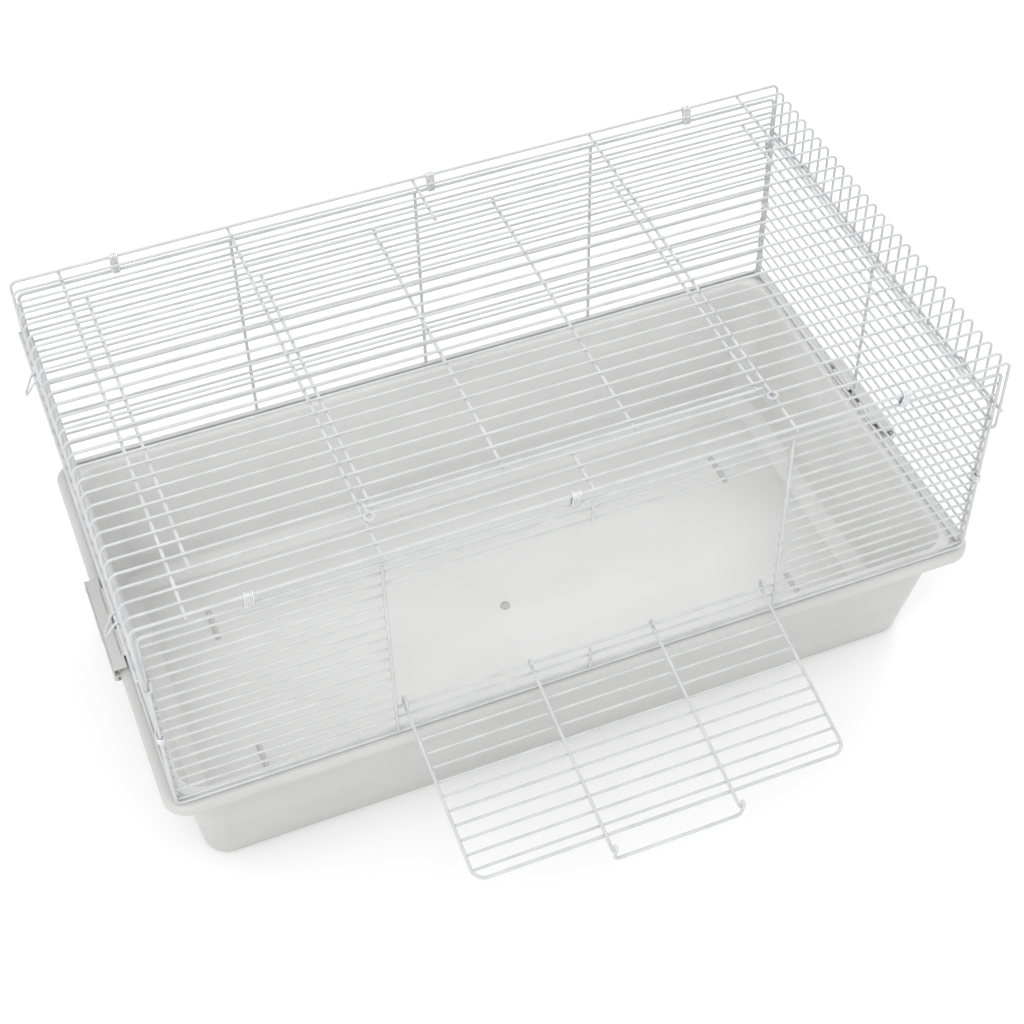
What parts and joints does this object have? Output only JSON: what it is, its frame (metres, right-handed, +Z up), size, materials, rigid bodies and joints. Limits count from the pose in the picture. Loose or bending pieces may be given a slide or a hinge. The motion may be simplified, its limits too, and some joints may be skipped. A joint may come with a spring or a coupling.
{
  "type": "wire rabbit cage",
  "caption": "Wire cage for a rabbit on a deep plastic tray, with a drop-down front door, a lifting roof hatch and clips at both ends.",
  "frame": {"origin": "centre of the tray's underside, on the face that the cage stands on", "axes": "+Z up, X along the length, -Y towards the front door"},
  "size_m": [0.9702, 0.7558, 0.4804],
  "materials": {
    "tray_plastic": "semi-gloss moulded polypropylene, pale grey",
    "clip_plastic": "semi-gloss moulded plastic, pale grey",
    "cage_wire": "glossy pale grey coating on welded steel wire",
    "spring_steel": "bright zinc-plated spring steel"
  },
  "bodies": {
    "cage": {"tray": "tray_plastic", "clip_lugs_left": "tray_plastic", "clip_lugs_right": "tray_plastic", "front_border": "cage_wire", "front_bars": "cage_wire", "front_uprights": "cage_wire", "door_hinge_wire": "cage_wire", "back_border": "cage_wire", "back_bars": "cage_wire", "back_uprights": "cage_wire", "left_border": "cage_wire", "left_bars": "cage_wire", "left_upright": "cage_wire", "right_border": "cage_wire", "right_bars": "cage_wire", "right_upright": "cage_wire", "roof_edge_wires": "cage_wire", "roof_bars": "cage_wire", "roof_cross_wires": "cage_wire", "roof_end_ties": "cage_wire", "hatch_hinge_wire": "cage_wire", "roof_clips": "spring_steel", "corner_clips": "spring_steel", "end_clips": "cage_wire"},
    "roof_hatch": {"hatch_border": "cage_wire", "hatch_bars": "cage_wire", "hatch_side_wires": "cage_wire", "hatch_hinge_hooks": "cage_wire", "hatch_loops": "cage_wire"},
    "front_door": {"door_frame": "cage_wire", "door_bars": "cage_wire", "door_hooks": "cage_wire", "door_latch_wire": "cage_wire"},
    "end_clip_left": {"tray_clip_left": "clip_plastic"},
    "end_clip_right": {"tray_clip_right": "clip_plastic"}
  },
  "joints": [
    {"name": "door_hinge", "type": "hinge", "parent": "cage", "child": "front_door", "pos_m": [0, -0.25628, 0.224], "axis": [-1, 0, 0], "range_deg": [0, 101.2]},
    {"name": "hatch_hinge", "type": "hinge", "parent": "cage", "child": "roof_hatch", "pos_m": [0, 0.19, 0.4754], "axis": [-1, 0, 0], "range_deg": [0, 110]},
    {"name": "left_clip_pivot", "type": "hinge", "parent": "cage", "child": "end_clip_left", "pos_m": [-0.479, 0, 0.177], "axis": [0, -1, 0], "range_deg": [0, 95]},
    {"name": "right_clip_pivot", "type": "hinge", "parent": "cage", "child": "end_clip_right", "pos_m": [0.479, 0, 0.177], "axis": [0, 1, 0], "range_deg": [0, 95]}
  ]
}
